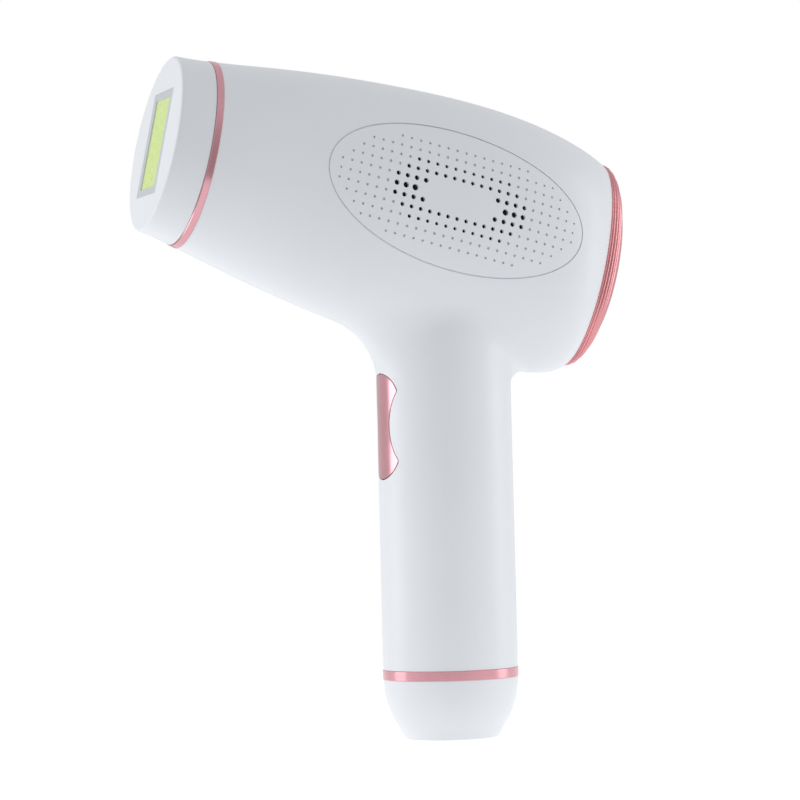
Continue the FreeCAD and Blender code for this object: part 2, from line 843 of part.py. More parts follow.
def base_cap():
    """Cap that closes the handle, with the inlet's opening and two screw seats."""
    outside = rounded("cap_outside", cap_form("cap_outer", 0), size("sole_round"), flat_at(WORLD, 0))
    room = cut("cap_room", cap_form("cap_inner", "shell_wall"), block("cap_floor", 60, 60, 2.3, (-30, -30, 0)))
    additions = [cut("cap_shell", outside, room)]
    removals = [rod("cap_inlet", 3.4, 5, (JACK_X, 0, -1))]
    post_x, post_y = BASE_POST
    for number, sign in enumerate((-1, 1)):
        at = (post_x, sign * post_y)
        additions.append(rod("cap_post_%d" % number, 3.4, 5.9, (*at, 2)))
        removals.append(rod("cap_way_%d" % number, "screw_shank + 0.2", 12, (*at, -1)))
        removals.append(rod("cap_seat_%d" % number, "screw_head + 0.3", 2.9, (*at, -1)))
    keep("base_cap", cut("base_cap", join("cap_solid", *additions), *removals))


def screw(name, at, length, frame, along, head_high=1.4):
    """A cross-recessed pan-head screw: the shank runs along the axis, the head sits before its start."""
    reach = ALONG[along].multVec(Z_AXIS)
    if length < 0:
        reach = reach * -1
    turn = Rotation(Z_AXIS, reach)
    place = frame * Placement(Vector(*at), turn)
    shank = rod(name + "_shank", "screw_shank", abs(length), (0, 0, 0), place)
    head = rod(name + "_head", "screw_head", head_high, (0, 0, -head_high), place)
    soft = rounded(name + "_soft", head, 0.4, flat_at(place, -head_high))
    slots = [
        block(name + "_slot_a", 2.6, 0.6, 1.0, (-1.3, -0.3, -head_high - 0.2), place),
        block(name + "_slot_b", 0.6, 2.6, 1.0, (-0.3, -1.3, -head_high - 0.2), place),
    ]
    return cut(name, join(name + "_blank", soft, shank), *slots)


def screws():
    """The two screws under the right grille and the two under the base."""
    pair = []
    for number, (rise, station) in enumerate(boss_places()):
        pair.append(screw("housing_screw_%d" % number, (rise, BOSS_HEAD, station), -15, BARREL, "y"))
    keep("housing_screws", group("housing_screws", pair))
    pair = []
    for number, sign in enumerate((-1, 1)):
        at = (BASE_POST[0], sign * BASE_POST[1], 1.9)
        pair.append(screw("base_screw_%d" % number, at, 16, WORLD, "z"))
    keep("base_screws", group("base_screws", pair))


def inlet():
    """Round power inlet with its centre pin, mouth downwards."""
    body = new_body("dc_jack", (JACK_X, 0, 2.4))
    outline = new_sketch(body, "jack_outline")
    rectangle(outline, 10, 9, (10, 9))
    pad(body, outline, "jack_long", "jack_block")
    mouth = new_sketch(body, "jack_mouth", level=10.6)
    circle(mouth, "jack_bore", 2.8)
    pocket(body, mouth, 11, "jack_hole")
    keep("dc_jack", body)
    keep("dc_pin", rounded("dc_pin", rod("pin_rod", "jack_pin", 9.6, (JACK_X, 0, 3.4)), 0.3, flat_at(WORLD, 3.4)))


base_cap()
screws()
inlet()


# ---------------------------------------------------------------- handle electronics and trigger

BOARD_FRONT = -11.5
BOARD_LOW = 30.0
BOARD_TOP = BOARD_LOW + size("board_long")
CAN_X = 4.0
CAN_LOW = 37.0
SWITCH_FRONT = -14.3


def main_board():
    """Upright circuit board in the front of the handle."""
    back = BOARD_FRONT + size("board_thick")
    body = new_body("main_board", (back, 0, BOARD_LOW), turn=Rotation(Y_AXIS, -90))
    outline = new_sketch(body, "board_outline")
    rectangle(outline, "board_long", "board_wide", (88, 24), (44, 0))
    pad(body, outline, "board_thick", "board_plate")
    holes = new_sketch(body, "board_holes", level=size("board_thick"))
    for along in (4, 84):
        for across in (-9, 9):
            circle(holes, 1.3, 1.3, (along, across))
    pocket(body, holes, "board_thick + 1", "board_bores")
    keep("main_board", body)


def capacitor():
    """Large flash capacitor with two screw terminals on top."""
    can = rod("can_rod", "can_radius", "can_long", (CAN_X, 0, CAN_LOW))
    top = CAN_LOW + size("can_long")
    soft = rounded("can_round", can, 1.0, lambda edge: edge.BoundBox.ZLength < 0.01)
    studs = [rod("can_stud_%d" % way, 1.6, 2.6, (CAN_X, 5 * way, top - 0.1)) for way in (-1, 1)]
    keep("flash_capacitor", join("flash_capacitor", soft, *studs))


def charger():
    """Charging transformer and power transistor on the back of the main board."""
    back = BOARD_FRONT + size("board_thick")
    shape = block("core_block", 14, 17, 12, (back, -8.5, 92))
    room = rod("core_room", 6.3, 9, (back + 2.5, 0, 98), along="x")
    slot = block("core_slot", 9, 12.6, 14, (back + 2.5, -6.3, 91))
    leg = rod("core_leg", 3, 10, (back + 2, 0, 98), along="x")
    keep("transformer_core", join("transformer_core", cut("core_frame", shape, room, slot), leg))
    winding = rod("winding_rod", 5.6, 8.6, (back + 2.7, 0, 98), along="x")
    hole = rod("winding_hole", 3.1, 12, (back + 1, 0, 98), along="x")
    keep("transformer_coil", cut("transformer_coil", winding, hole))
    case = block("transistor_case", 4.5, 10, 8, (back, -5, 106))
    tab = block("transistor_tab", 1.3, 10, 3, (back, -5, 114))
    eye = rod("transistor_eye", 1.4, 6, (back - 1, 0, 115.4), along="x")
    keep("power_transistor", cut("power_transistor", join("transistor_solid", case, tab), eye))


def trigger():
    """Trigger button that follows the handle's surface, its switch and its two return springs."""
    middle = size("trigger_height")
    wall = cut("trigger_wall", handle_outer, handle_core)
    face = common("trigger_face", feature("trigger_prism", trigger_outline(0)), wall)
    soft = feature("trigger_lip_prism", trigger_outline(size("trigger_lip")))
    lip = common("trigger_lip_plate", soft, cut("trigger_lip_wall", handle_seat, handle_core))
    stem = rod("trigger_stem", 2.2, 2.0, (-17.9, 0, middle), along="x")
    keep("trigger_button", join("trigger_button", face, lip, stem))
    case = block("switch_case", BOARD_FRONT - SWITCH_FRONT, 6, 6, (SWITCH_FRONT, -3, middle - 3))
    keep("trigger_switch", cut("trigger_switch", case, rod("switch_well", 1.9, 2, (SWITCH_FRONT - 0.7, 0, middle), along="x")))
    keep("switch_plunger", rod("switch_plunger", 1.7, 1.9, (-15.85, 0, middle), along="x"))
    coils = []
    for way in (-1, 1):
        at = (BOARD_FRONT - 0.2, 0, middle + way * size("spring_offset"))
        pitch = size("spring_long") / SPRING_TURNS
        helix = Part.makeHelix(pitch, size("spring_long"), size("spring_radius"))
        start = Vector(size("spring_radius"), 0, 0)
        section = Part.Wire(Part.Circle(start, Y_AXIS, size("spring_wire")).toShape())
        coil = Part.Wire(helix.Edges).makePipeShell([section], True, True)
        coils.append(feature("spring_%d" % way, coil, Placement(Vector(*at), Rotation(Y_AXIS, -90))))
    keep("trigger_springs", group("trigger_springs", coils))


main_board()
capacitor()
charger()
trigger()


# ---------------------------------------------------------------- lamp cartridge

FACE_CENTRE = 3.2
GLASS_FRONT = 92.3
SIGHT_SLOPE = 0.25
HOLDER_REACH = 14.2


def window_block(name, high, wide, rear, front):
    """A block centred on the lamp window between two stations."""
    low = (FACE_CENTRE - size(high) / 2, -size(wide) / 2, rear)
    return block(name, high, wide, front - rear, low, BARREL)


def cartridge_shell():
    """Removable nozzle with a flat oval face and the lamp window's opening."""
    rear = size("shell_front") + size("front_ring_long") + size("parting_gap")
    body = common("nozzle_form", outer, slab("nozzle_slab", rear, size("face_station") + 1))
    soft = rounded("nozzle_round", body, size("face_round"), flat_at(BARREL, size("face_station")))
    room_form = barrel_form("nozzle_inner", "nozzle_wall")
    room = common("nozzle_room", room_form, slab("nozzle_room_slab", rear - 1, size("face_station") - 2.0))
    opening = block("nozzle_opening", "window_high + 0.1", "window_wide + 0.1", 8,
                    (FACE_CENTRE - size("window_high") / 2 - 0.05, -size("window_wide") / 2 - 0.05, 86), BARREL)
    keep("cartridge_shell", cut("cartridge_shell", soft, room, opening))


def window_parts():
    """Sloped window frame and the coloured filter glass behind it."""
    frame = window_block("frame_block", "window_high", "window_wide", 86.1, size("face_station") - 0.03)
    seat = window_block("frame_seat", "glass_high", "glass_wide", 85.6, GLASS_FRONT)
    rings = []
    for level, margin in ((GLASS_FRONT - 0.01, 0.0), (size("face_station"), SIGHT_SLOPE)):
        half_high = size("sight_high") / 2 + margin
        half_wide = size("sight_wide") / 2 + margin
        ways = ((-1, -1), (1, -1), (1, 1), (-1, 1), (-1, -1))
        corners = [Vector(FACE_CENTRE + a * half_high, b * half_wide, level) for a, b in ways]
        rings.append(feature("frame_slope_%d" % len(rings), Part.makePolygon(corners), BARREL))
    slope = loft("frame_slope", rings)
    slope.Ruled = True
    keep("window_frame", cut("window_frame", frame, seat, slope))
    pane = block("filter_glass", "glass_high - 0.1", "glass_wide - 0.1", "glass_thick",
                 (FACE_CENTRE - size("glass_high") / 2 + 0.05, -size("glass_wide") / 2 + 0.05,
                  GLASS_FRONT - size("glass_thick") - 0.02), BARREL)
    keep("filter_glass", pane)


def carrier():
    """Tray that closes the nozzle from behind and plugs into the socket."""
    rear = size("skirt_rear")
    front = size("shell_front") + size("front_ring_long") + size("parting_gap")
    flange = oval("carrier_flange", 24.8, 18.4, 2.0, (2.75, 0, front), BARREL)
    skirt = oval("carrier_skirt", "skirt_high", "skirt_wide", front - rear + 0.5, (LAMP_RISE, 0, rear), BARREL)
    core = "skirt_%s - skirt_wall"
    room = oval("carrier_room", core % "high", core % "wide", 30, (LAMP_RISE, 0, rear + 2), BARREL)
    ways = [rod("carrier_way_%d" % way, "pin_radius", 6, (LAMP_RISE + way * size("pin_offset"), 0, rear - 2), BARREL)
            for way in (-1, 1)]
    keep("lamp_carrier", cut("lamp_carrier", join("carrier_solid", flange, skirt), room, *ways))
    pins = [rounded("contact_pin_%d" % way,
                    rod("pin_rod_%d" % way, "pin_radius", 12, (LAMP_RISE + way * size("pin_offset"), 0, 53), BARREL),
                    0.6, flat_at(BARREL, 53)) for way in (-1, 1)]
    keep("contact_pins", group("contact_pins", pins))


def lamp():
    """Flash tube with its electrodes, holders and trough reflector."""
    station = size("tube_station")
    length = 31.0
    tube = rod("tube_glass", "tube_radius", length, (LAMP_RISE - length / 2, 0, station), BARREL, "x")
    keep("flash_tube", tube)
    caps = [rod("electrode_%d" % way, "tube_radius - 0.4", 3, (LAMP_RISE + way * 17 - 1.5, 0, station), BARREL, "x")
            for way in (-1, 1)]
    keep("tube_electrodes", group("tube_electrodes", caps))
    holders = []
    for way in (-1, 1):
        low = (LAMP_RISE + way * (HOLDER_REACH + 0.6) - 0.6, -4.5, size("skirt_rear") + 2)
        plate = block("holder_plate_%d" % way, 1.2, 9, 18, low, BARREL)
        eye = rod("holder_eye_%d" % way, "tube_radius + 0.03", 6, (low[0] - 2, 0, station), BARREL, "x")
        holders.append(cut("holder_%d" % way, plate, eye))
    keep("tube_holders", group("tube_holders", holders))
    keep("reflector", trough("reflector", 6.2, 0.5, 26.2, 88.2))


def trough(name, radius, wall, length, mouth):
    """A polished channel: a half round behind the tube with straight sides to its mouth."""
    middle = size("tube_station") + 1.2
    def outline(reach, front):
        side = [Vector(0, way * reach, front) for way in (-1, 1)]
        turn = [Vector(0, way * reach, middle) for way in (-1, 1)]
        edges = [
            Part.LineSegment(side[0], turn[0]).toShape(),
            Part.Arc(turn[0], Vector(0, 0, middle - reach), turn[1]).toShape(),
            Part.LineSegment(turn[1], side[1]).toShape(),
            Part.LineSegment(side[1], side[0]).toShape(),
        ]
        return Part.Face(Part.Wire(edges)).extrude(Vector(length, 0, 0))
    shape = outline(radius + wall, mouth).cut(outline(radius, mouth + 1))
    return feature(name, shape, BARREL * Placement(Vector(LAMP_RISE - length / 2, 0, 0), Rotation()))


cartridge_shell()
window_parts()
carrier()
lamp()


# ---------------------------------------------------------------- socket, cooling and ignition

def socket():
    """Receptacle in the front of the barrel with the lamp's spring contacts."""
    inside = "skirt_%s + socket_gap"
    outside = "skirt_%s + socket_gap + socket_wall"
    rear = 58.0
    sleeve = oval("socket_sleeve", outside % "high", outside % "wide", SOCKET_FRONT - rear, (LAMP_RISE, 0, rear), BARREL)
    flange = oval("socket_flange", 24.8, 18.3, 3.6, (LAMP_RISE, 0, SOCKET_FRONT - 3.6), BARREL)
    room = oval("socket_room", inside % "high", inside % "wide", 30, (LAMP_RISE, 0, rear + 2.5), BARREL)
    ways = []
    contacts = []
    for way in (-1, 1):
        at = LAMP_RISE + way * size("pin_offset")
        ways.append(rod("socket_way_%d" % way, 2.6, 6, (at, 0, rear - 2), BARREL))
        tube = rod("contact_tube_%d" % way, 2.55, 9.5, (at, 0, 51), BARREL)
        bore = rod("contact_bore_%d" % way, "pin_radius + shaft_clearance", 9, (at, 0, 52), BARREL)
        contacts.append(cut("contact_%d" % way, tube, bore))
    keep("cartridge_socket", cut("cartridge_socket", join("socket_solid", sleeve, flange), room, *ways))
    keep("socket_contacts", group("socket_contacts", contacts))


def heat_sink():
    """Finned aluminium plate behind the lamp socket."""
    body = new_body("heat_sink", (SINK_RISE, 0, PLATE_STATION + size("sink_plate")), BARREL, Rotation(X_AXIS, 180))
    outline = new_sketch(body, "sink_outline")
    rectangle(outline, "sink_high", "sink_wide", (40, 28))
    pad(body, outline, "sink_plate", "sink_base")
    doc.recompute()
    fin = new_sketch(body, "sink_fin_outline", level=size("sink_plate") - 0.1)
    first = -(FIN_COUNT - 1) / 2 * size("fin_pitch")
    rectangle(fin, "fin_thick", "sink_wide", (1.2, 28), (first, 0))
    fin_pad = pad(body, fin, "fin_high + 0.1", "sink_fin")
    doc.recompute()
    row = body.newObject("PartDesign::LinearPattern", "sink_fins")
    row.Originals = [fin_pad]
    row.Direction = (fin, ["H_Axis"])
    bind(row, Length="fin_pitch * %d" % (FIN_COUNT - 1))
    row.Occurrences = FIN_COUNT
    body.Tip = row
    keep("heat_sink", body)


FAN_SPOT = (3.7, -17.5, 5.9)
FAN = BARREL * Placement(Vector(*FAN_SPOT), ALONG["y"])


def fan():
    """Axial cooling fan behind the left grille, blowing across the barrel."""
    half = size("fan_side") / 2
    case = block("fan_case", "fan_side", "fan_side", "fan_deep", (-half, -half, 0), FAN)
    soft = rounded("fan_case_round", case, 3.0, lambda edge: local_box(edge, FAN).ZLength > 9)
    removals = [rod("fan_duct", "fan_bore", 20, (0, 0, -5), FAN)]
    for a in (-1, 1):
        for b in (-1, 1):
            at = (a * (half - 2.9), b * (half - 2.9), -1)
            removals.append(rod("fan_eye_%d_%d" % (a, b), 1.4, 20, at, FAN))
    shell = cut("fan_shell", soft, *removals)
    back = size("fan_deep") - 1.4
    plate = [rod("fan_motor_plate", 8, 1.4, (0, 0, back), FAN)]
    for number in range(3):
        spin = FAN * Placement(Vector(), Rotation(Z_AXIS, 120 * number + 30))
        plate.append(block("fan_strut_%d" % number, half - 0.6, 2.2, 1.4, (0, -1.1, back), spin))
    solid = join("fan_solid", shell, *plate)
    bearing = rod("fan_bearing", "shaft_radius + shaft_clearance", 6, (0, 0, back - 2), FAN)
    keep("fan_frame", cut("fan_frame", solid, bearing))
    hub = rounded("rotor_hub", rod("rotor_cup", "hub_radius", 7.4, (0, 0, 0.6), FAN), 0.8, flat_at(FAN, 0.6))
    blades = []
    for number in range(BLADE_COUNT):
        spin = FAN * Placement(Vector(), Rotation(Z_AXIS, 360 / BLADE_COUNT * number))
        lean = Placement(Vector(6.6, 0, 4.3), Rotation(X_AXIS, 40))
        blades.append(block("blade_%d" % number, 10, "blade_thick", 12, (0, -0.5, -6), spin * lean))
    ring = cut("blade_ring", rod("blade_sweep", "rotor_radius", 5.6, (0, 0, 1.8), FAN),
               rod("blade_core", 7.0, 8, (0, 0, 0), FAN))
    bladed = [common("rotor_blade_%d" % number, blade, ring) for number, blade in enumerate(blades)]
    shaft = rod("rotor_shaft", "shaft_radius", 1.9, (0, 0, 7.8), FAN)
    keep("fan_rotor", join("fan_rotor", hub, shaft, *bladed))


def ignition():
    """Ignition board over the fan with its coil and capacitor."""
    keep("ignition_board", block("ignition_board", 1.4, 26, 45, (22, -13, -16), BARREL))
    coil = rod("ignition_winding", 4.2, 14, (27.7, -7, 16), BARREL, "y")
    ends = [block("ignition_end_%d" % way, 8.6, 1.6, 8.6, (23.4, way * 7 - 0.8, 11.7), BARREL) for way in (-1, 1)]
    keep("ignition_coil", join("ignition_coil", coil, *ends))
    case = block("trigger_capacitor_case", 7.5, 11, 5, (23.4, -5.5, -6), BARREL)
    keep("trigger_capacitor", rounded("trigger_capacitor", case, 0.8,
                                      lambda edge: local_box(edge, BARREL).XLength > 7))


def leads():
    """Insulated leads between the boards, the lamp contacts, the fan and the inlet."""
    radius = size("lead_radius")
    pair = []
    for way in (-1, 1):
        start = LAMP_RISE + way * size("pin_offset")
        side = 4.0 * way
        route = [
            barrel_point(start, 0, 51.0),
            barrel_point(start, 0, 48.6),
            barrel_point(start - 6, side, 48.6),
            barrel_point(-25.5, side, 48.6),
            barrel_point(-26.5, side, 17),
            Vector(-6.9, side, 127),
            Vector(-6.9, side, 122),
            Vector(-10.7, side, BOARD_TOP + 0.7),
        ]
        pair.append(lead("lamp_lead_%d" % way, route, radius, 1.1))
    keep("lamp_leads", group("lamp_leads", pair))
    pair = []
    for way in (-1, 1):
        side = 2 * way
        route = [Vector(JACK_X - 2, side, 15.5), Vector(JACK_X - 2, side, 21), Vector(-10.7, side, 25),
                 Vector(-10.7, side, 29.9)]
        pair.append(lead("inlet_lead_%d" % way, route, radius, 2.0))
    keep("inlet_leads", group("inlet_leads", pair))
    route = [barrel_point(-14.0, -12.5, 2), barrel_point(-20, -12.5, 2), Vector(-4, -9.5, 124),
             Vector(-10.7, -9.5, BOARD_TOP + 0.7)]
    keep("fan_lead", lead("fan_lead", route, 0.8, 2.0))
    route = [RIM.multVec(Vector(-16, 0, 1.3)), RIM.multVec(Vector(-16, 0, -6)), barrel_point(-24, 6, -8),
             Vector(2, 9.5, 124), Vector(-10.7, 9.5, BOARD_TOP + 1.05)]
    keep("panel_cable", lead("panel_cable", route, 1.1, 2.5))


socket()
heat_sink()
fan()
ignition()
leads()


# ---------------------------------------------------------------- check and write

doc.recompute()
for item in doc.Objects:
    if "Invalid" in item.State or "Error" in item.State:
        raise RuntimeError("%s failed: %s" % (item.Name, item.State))
os.makedirs("parts", exist_ok=True)
for name, item in sub_parts.items():
    shape = item.Shape
    if item.Label != name or shape.isNull() or not shape.isValid() or not shape.Solids:
        raise RuntimeError(name + " isn't a valid solid")
for name, item in sub_parts.items():
    item.Shape.exportStep("parts/" + name + ".step")
print(len(sub_parts), "sub-parts written")
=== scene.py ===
import json
import math

import bpy
from mathutils import Matrix, Vector


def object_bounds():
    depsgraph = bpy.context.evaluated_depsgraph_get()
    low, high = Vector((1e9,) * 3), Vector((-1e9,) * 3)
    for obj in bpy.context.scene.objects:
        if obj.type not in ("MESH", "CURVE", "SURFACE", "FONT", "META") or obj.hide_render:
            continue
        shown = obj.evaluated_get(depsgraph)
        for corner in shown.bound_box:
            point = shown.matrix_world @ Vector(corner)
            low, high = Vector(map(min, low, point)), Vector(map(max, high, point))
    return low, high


# Pulsed-light hair remover: a finish for each CAD node, then floor, light and camera.
# Everything is in metres, in the frame of the CAD model. The angles in these settings are in degrees.

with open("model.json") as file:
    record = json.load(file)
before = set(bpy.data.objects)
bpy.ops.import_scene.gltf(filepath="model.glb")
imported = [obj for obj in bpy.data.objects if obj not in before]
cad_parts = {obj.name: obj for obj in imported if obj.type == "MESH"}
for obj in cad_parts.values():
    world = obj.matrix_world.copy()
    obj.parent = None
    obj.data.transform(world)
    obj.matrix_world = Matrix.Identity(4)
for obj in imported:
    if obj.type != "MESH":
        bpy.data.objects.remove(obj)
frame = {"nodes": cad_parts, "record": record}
cad_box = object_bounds()
nodes = frame["nodes"]
centre = (cad_box[0] + cad_box[1]) / 2

MM = 0.001
WHITE = (1, 1, 1, 1)

NOISE_SPAN = (0.3, 0.7)  # a noise texture seldom leaves this part of its range

CAMERA_AZIMUTH = -23.0
CAMERA_ELEVATION = -2
CAMERA_ROLL = -1.4
CAMERA_DISTANCE = 0.85
CAMERA_AIM = (3.33 * MM, 0, 0.4 * MM)  # from the centre of the CAD model
SENSOR_WIDTH = 36.0
FOCAL_LENGTH = 128.1

FLOOR_RADIUS = 0.44
FLOOR_SIDES = 96
FLOOR_GAP = 0.1 * MM
FLOOR_GLOW = 0.74
FLOOR_PATCH = 0.4

ROOM_LIGHT = 0.74
ROOM_TINT = (0.985, 0.992, 1.0, 1)
DIM_LIGHT = 0.42
DIM_FROM = 0.5  # cosine of the angle from the main view at which the room starts to dim

SOFTBOX_DISTANCE = 1.0
SOFTBOX_ELEVATION = 8
SOFTBOX_HEIGHT = 1.1
SOFTBOX_RADIANCE = 2.1


# ---------------------------------------------------------------- shader helpers

def new_material(name, **sockets):
    """A material whose Principled shader holds on its own sockets what is the same all over."""
    material = bpy.data.materials.new(name)
    material.use_nodes = True
    shader = material.node_tree.nodes["Principled BSDF"]
    for socket, value in sockets.items():
        shader.inputs[socket.replace("_", " ")].default_value = value
    return material


def noise(material, grain, detail=3.0, stretch=(1, 1, 1)):
    """Noise in the object's own metres, with features of about the grain's size."""
    tree = material.node_tree
    place = tree.nodes.new("ShaderNodeTexCoord")
    mapping = tree.nodes.new("ShaderNodeMapping")
    texture = tree.nodes.new("ShaderNodeTexNoise")
    mapping.inputs["Scale"].default_value = stretch
    texture.inputs["Scale"].default_value = 1 / grain
    texture.inputs["Detail"].default_value = detail
    tree.links.new(place.outputs["Object"], mapping.inputs["Vector"])
    tree.links.new(mapping.outputs["Vector"], texture.inputs["Vector"])
    return texture.outputs["Fac"]


def vary_colour(material, factor, dark, light, low=0.35, high=0.65):
    """Base colour that wanders between two tones."""
    tree = material.node_tree
    ramp = tree.nodes.new("ShaderNodeValToRGB")
    ramp.color_ramp.elements[0].position = low
    ramp.color_ramp.elements[1].position = high
    ramp.color_ramp.elements[0].color = (*dark, 1)
    ramp.color_ramp.elements[1].color = (*light, 1)
    tree.links.new(factor, ramp.inputs["Fac"])
    tree.links.new(ramp.outputs["Color"], tree.nodes["Principled BSDF"].inputs["Base Color"])


def vary_roughness(material, factor, low, high):
    """Roughness that wanders between two values."""
    tree = material.node_tree
    span = tree.nodes.new("ShaderNodeMapRange")
    span.inputs["From Min"].default_value = NOISE_SPAN[0]
    span.inputs["From Max"].default_value = NOISE_SPAN[1]
    span.inputs["To Min"].default_value = low
    span.inputs["To Max"].default_value = high
    tree.links.new(factor, span.inputs["Value"])
    tree.links.new(span.outputs["Result"], tree.nodes["Principled BSDF"].inputs["Roughness"])


def add_bump(material, factor, depth):
    """Surface relief of a depth in metres."""
    tree = material.node_tree
    bump = tree.nodes.new("ShaderNodeBump")
    bump.inputs["Strength"].default_value = 1.0
    bump.inputs["Distance"].default_value = depth
    tree.links.new(factor, bump.inputs["Height"])
    tree.links.new(bump.outputs["Normal"], tree.nodes["Principled BSDF"].inputs["Normal"])


def tone(colour, share):
    """A colour made lighter or darker by a share."""
    return tuple(min(1.0, channel * (1 + share)) for channel in colour)


def finish_of(name, colour, roughness, wander=0.02, grain=0.2 * MM, depth=0.004 * MM, patch=12 * MM,
              **sockets):
    """A plain finish: colour wanders in broad patches, roughness in small ones, over a fine grain."""
    material = new_material(name, **sockets)
    broad = noise(material, patch, 2.0)
    small = noise(material, patch / 8, 3.0)
    vary_colour(material, broad, tone(colour, -wander), tone(colour, wander))
    vary_roughness(material, small, roughness * 0.9, roughness * 1.1)
    add_bump(material, noise(material, grain, 2.0), depth)
    return material


# ---------------------------------------------------------------- materials

def white_shell():
    """Cool white moulded plastic with a fine satin grain."""
    return finish_of("white_shell", (0.765, 0.785, 0.818), 0.38, wander=0.008, grain=0.18 * MM,
                     depth=0.0022 * MM, patch=30 * MM, Specular_IOR_Level=0.45)


def white_gloss():
    """Polished white plastic of the rear panel."""
    return finish_of("white_gloss", (0.76, 0.78, 0.81), 0.12, wander=0.006, grain=1.5 * MM, depth=0.001 * MM,
                     patch=20 * MM, Coat_Weight=0.5, Coat_Roughness=0.05)


def rose_gold(name="rose_gold", colour=(0.68, 0.35, 0.39), roughness=0.20):
    """Vapour-coated rose-gold metal with a fine pearl grain."""
    return finish_of(name, colour, roughness, wander=0.02, grain=0.12 * MM, depth=0.0005 * MM, patch=4 * MM,
                     Metallic=1.0)


def frame_grey():
    """Light grey satin plastic of the window frame."""
    return finish_of("frame_grey", (0.52, 0.55, 0.58), 0.38, wander=0.015, grain=0.15 * MM, depth=0.002 * MM,
                     patch=6 * MM)


def filter_green():
    """Yellow-green filter glass."""
    material = new_material("filter_green", Transmission_Weight=0.15, IOR=1.5, Coat_Weight=0.6,
                            Coat_Roughness=0.04, Specular_IOR_Level=0.5)
    vary_colour(material, noise(material, 0.9 * MM, 4.0), (0.62, 0.84, 0.14), (0.78, 0.95, 0.27))
    vary_roughness(material, noise(material, 2 * MM), 0.14, 0.24)
    add_bump(material, noise(material, 0.5 * MM), 0.004 * MM)
    return material


def quartz():
    """Clear fused quartz of the flash tube."""
    material = new_material("quartz", Transmission_Weight=0.9, IOR=1.46)
    vary_colour(material, noise(material, 4 * MM), (0.90, 0.93, 0.95), (0.97, 0.98, 1.0))
    vary_roughness(material, noise(material, 2 * MM), 0.02, 0.06)
    return material


def metal(name, colour, roughness, stretch=(1, 1, 1), depth=0.003 * MM):
    """Bare metal with a drawn or machined grain."""
    material = new_material(name, Metallic=1.0)
    vary_colour(material, noise(material, 5 * MM), tone(colour, -0.05), tone(colour, 0.04))
    vary_roughness(material, noise(material, 0.8 * MM, stretch=stretch), roughness * 0.8, roughness * 1.2)
    add_bump(material, noise(material, 0.25 * MM, stretch=stretch), depth)
    return material


def reflector_metal():
    return metal("reflector_metal", (0.90, 0.90, 0.91), 0.07, depth=0.001 * MM)


def bright_metal():
    return metal("bright_metal", (0.76, 0.77, 0.79), 0.32, stretch=(1, 0.08, 1))


def steel():
    return metal("steel", (0.60, 0.61, 0.63), 0.25)


def contact_brass():
    return metal("contact_brass", (0.83, 0.62, 0.28), 0.18, stretch=(0.3, 1, 1))


def copper():
    """Enamelled copper wire: fine turns show as close ridges."""
    return metal("copper", (0.70, 0.33, 0.17), 0.26, stretch=(6, 0.6, 0.6), depth=0.03 * MM)


def screen_black():
    """Fine woven dust mesh, nearly black."""
    material = new_material("screen_black", Specular_IOR_Level=0.2, Roughness=0.85)
    tree = material.node_tree
    place = tree.nodes.new("ShaderNodeTexCoord")
    weave = []
    for axis in ("X", "Z"):
        wave = tree.nodes.new("ShaderNodeTexWave")
        wave.bands_direction = axis
        wave.inputs["Scale"].default_value = 0.5 / MM
        tree.links.new(place.outputs["Object"], wave.inputs["Vector"])
        weave.append(wave.outputs["Fac"])
    both = tree.nodes.new("ShaderNodeMath")
    both.operation = "MULTIPLY"
    for number, thread in enumerate(weave):
        tree.links.new(thread, both.inputs[number])
    vary_colour(material, both.outputs["Value"], (0.010, 0.010, 0.012), (0.035, 0.036, 0.040), 0.2, 0.9)
    add_bump(material, both.outputs["Value"], 0.05 * MM)
    return material


def black_plastic():
    return finish_of("black_plastic", (0.030, 0.031, 0.034), 0.42, wander=0.15)


def socket_plastic():
    return finish_of("socket_plastic", (0.055, 0.056, 0.060), 0.48, wander=0.12, grain=0.22 * MM,
                     depth=0.006 * MM)


def board_green():
    """Solder-masked circuit board: mottled green under gloss lacquer."""
    return finish_of("board_green", (0.012, 0.115, 0.052), 0.28, wander=0.18, grain=0.5 * MM, patch=3 * MM,
                     Coat_Weight=0.4, Coat_Roughness=0.1)


def ferrite():
    return finish_of("ferrite", (0.028, 0.029, 0.033), 0.62, wander=0.2, grain=0.25 * MM, depth=0.012 * MM)


def can_sleeve():
    return finish_of("can_sleeve", (0.012, 0.018, 0.045), 0.30, wander=0.1, grain=1.2 * MM, Coat_Weight=0.3)


def red_lead():
    return finish_of("red_lead", (0.42, 0.022, 0.018), 0.45, wander=0.08, grain=0.3 * MM)


def grey_lead():
    return finish_of("grey_lead", (0.08, 0.08, 0.09), 0.5, wander=0.08, grain=0.3 * MM)


def light_pipe():
    """Clear moulded light pipe, unlit."""
    material = new_material("light_pipe", Transmission_Weight=0.6, IOR=1.49)
    vary_colour(material, noise(material, 1 * MM), (0.74, 0.77, 0.80), (0.86, 0.88, 0.90))
    vary_roughness(material, noise(material, 0.6 * MM), 0.10, 0.20)
    add_bump(material, noise(material, 0.2 * MM), 0.004 * MM)
    return material


def holder_silicone():
    return finish_of("holder_silicone", (0.66, 0.64, 0.58), 0.6, wander=0.03, grain=0.3 * MM,
                     depth=0.006 * MM)


FINISHES = (
    white_shell, white_gloss, rose_gold, frame_grey, filter_green, quartz, reflector_metal, bright_metal,
    contact_brass, steel, screen_black, black_plastic, board_green, copper, ferrite, can_sleeve, red_lead,
    grey_lead, socket_plastic, light_pipe, holder_silicone,
)


